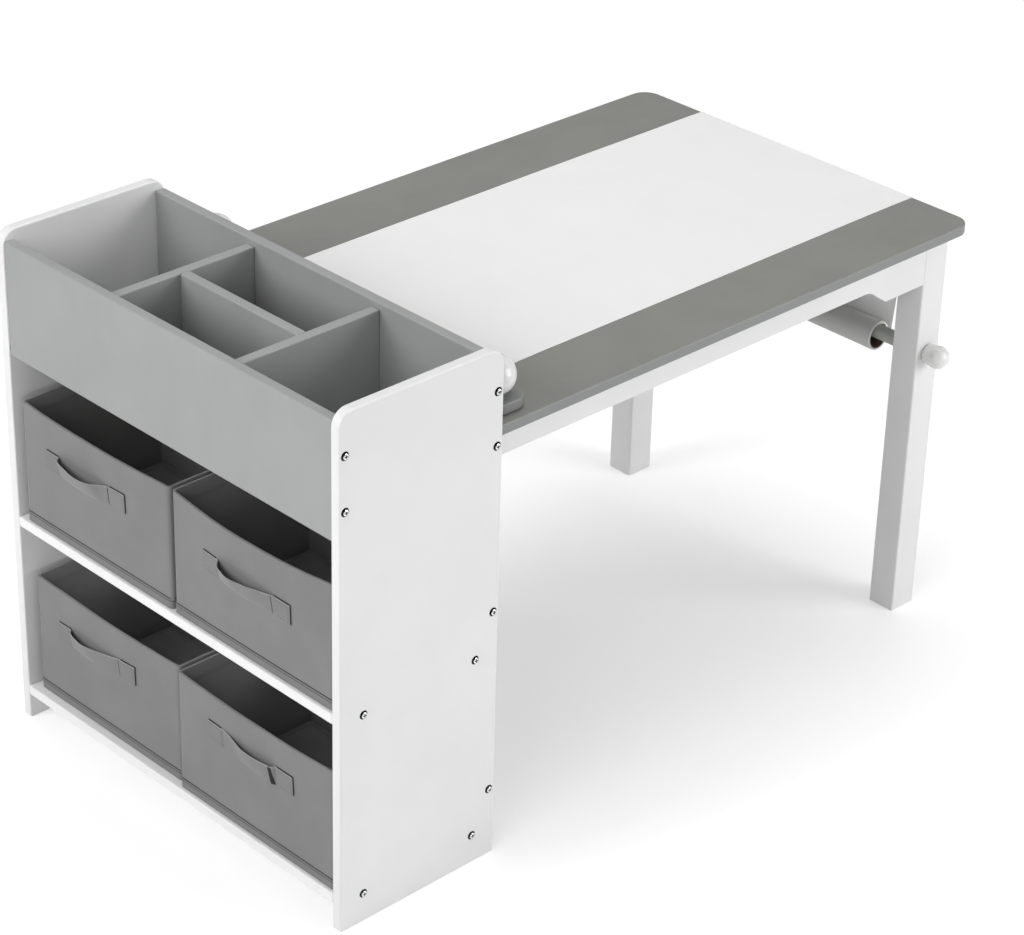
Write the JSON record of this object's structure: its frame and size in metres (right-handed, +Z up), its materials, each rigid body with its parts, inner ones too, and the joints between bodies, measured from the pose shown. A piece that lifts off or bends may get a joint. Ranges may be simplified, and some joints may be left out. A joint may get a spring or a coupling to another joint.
{
  "type": "kids table",
  "caption": "Low children's drawing table: storage unit with divided toy tray and fabric bins at one end, legs at the other, with a paper roll on a dowel and a clamp bar on the tabletop",
  "frame": {"origin": "on the floor, under the middle of the bounding box", "axes": "+X from the storage unit to the paper roll, +Y away from the near long side, +Z up"},
  "size_m": [0.9694, 0.5464, 0.6],
  "materials": {
    "white_lacquer": "satin white paint over board",
    "grey_lacquer": "satin grey paint over board",
    "grey_wood": "satin grey paint over turned and shaped wood",
    "white_knob": "glossier white paint over turned wood",
    "bin_fabric": "plain grey non-woven fabric",
    "strap_fabric": "grey fabric strap, sewn",
    "base_card": "card stiffener covered in grey fabric",
    "bare_wood": "unfinished hardwood",
    "bright_steel": "bright plated steel",
    "zinc_steel": "zinc-plated steel",
    "paper": "matt white drawing paper",
    "core_card": "plain brown card",
    "brass": "plain brass"
  },
  "bodies": {
    "frame": {"side_panel_near": "white_lacquer", "side_panel_far": "white_lacquer", "front_board": "grey_lacquer", "back_board": "grey_lacquer", "tray_floor": "grey_lacquer", "cross_divider_near": "grey_lacquer", "cross_divider_far": "grey_lacquer", "long_divider": "grey_lacquer", "middle_shelf": "white_lacquer", "bottom_shelf": "white_lacquer", "middle_back_rail": "white_lacquer", "bottom_back_rail": "white_lacquer", "panel_screws_near": "bright_steel", "panel_screws_far": "bright_steel", "wood_pins": "bare_wood", "tabletop": "grey_lacquer", "apron_near": "white_lacquer", "apron_far": "white_lacquer", "end_apron": "white_lacquer", "ledger": "white_lacquer", "ledger_screws": "zinc_steel", "leg_near": "white_lacquer", "leg_far": "white_lacquer", "corner_bracket_near": "zinc_steel", "corner_bracket_far": "zinc_steel", "hanger_bolts": "zinc_steel", "hanger_nuts": "zinc_steel", "angle_brackets": "zinc_steel", "bracket_screws": "zinc_steel", "paper_sheet": "paper", "clamp_bolts": "zinc_steel"},
    "rod": {"roll_dowel": "grey_wood", "roll_knob_near": "white_knob", "roll_knob_far": "white_knob"},
    "roll": {"paper_core": "core_card", "paper_roll": "paper"},
    "clamp_bar": {"clamp_bar": "grey_wood"},
    "clamp_knob_near": {"clamp_knob_near": "white_knob", "clamp_insert_near": "brass"},
    "clamp_knob_far": {"clamp_knob_far": "white_knob", "clamp_insert_far": "brass"},
    "bin_upper_near": {"bin_upper_near": "bin_fabric", "handle_upper_near": "strap_fabric", "base_upper_near": "base_card"},
    "bin_upper_far": {"bin_upper_far": "bin_fabric", "handle_upper_far": "strap_fabric", "base_upper_far": "base_card"},
    "bin_lower_near": {"bin_lower_near": "bin_fabric", "handle_lower_near": "strap_fabric", "base_lower_near": "base_card"},
    "bin_lower_far": {"bin_lower_far": "bin_fabric", "handle_lower_far": "strap_fabric", "base_lower_far": "base_card"}
  },
  "joints": [
    {"name": "pull_upper_near", "type": "slide", "parent": "frame", "child": "bin_upper_near", "axis": [-1, 0, 0], "range_m": [0, 0.18]},
    {"name": "pull_upper_far", "type": "slide", "parent": "frame", "child": "bin_upper_far", "axis": [-1, 0, 0], "range_m": [0, 0.18]},
    {"name": "pull_lower_near", "type": "slide", "parent": "frame", "child": "bin_lower_near", "axis": [-1, 0, 0], "range_m": [0, 0.18]},
    {"name": "pull_lower_far", "type": "slide", "parent": "frame", "child": "bin_lower_far", "axis": [-1, 0, 0], "range_m": [0, 0.18]},
    {"name": "rod_turn", "type": "hinge", "parent": "frame", "child": "rod", "pos_m": [0.4483, 0, 0.3425], "axis": [0, 1, 0], "continuous": true},
    {"name": "roll_turn", "type": "hinge", "parent": "frame", "child": "roll", "pos_m": [0.4483, 0, 0.33655], "axis": [0, 1, 0], "continuous": true},
    {"name": "bar_lift", "type": "slide", "parent": "frame", "child": "clamp_bar", "axis": [0, 0, 1], "range_m": [0, 0.004]},
    {"name": "knob_near_turn", "type": "hinge", "parent": "clamp_bar", "child": "clamp_knob_near", "pos_m": [-0.2257, -0.2205, 0.5375], "axis": [0, 0, 1], "range_deg": [0, 1440]},
    {"name": "knob_far_turn", "type": "hinge", "parent": "clamp_bar", "child": "clamp_knob_far", "pos_m": [-0.2257, 0.2205, 0.5375], "axis": [0, 0, 1], "range_deg": [0, 1440]}
  ],
  "couplings": [
    {"joint": "knob_near_turn", "follows": "bar_lift", "rad_per_m": 6280},
    {"joint": "knob_far_turn", "follows": "bar_lift", "rad_per_m": 6280}
  ]
}
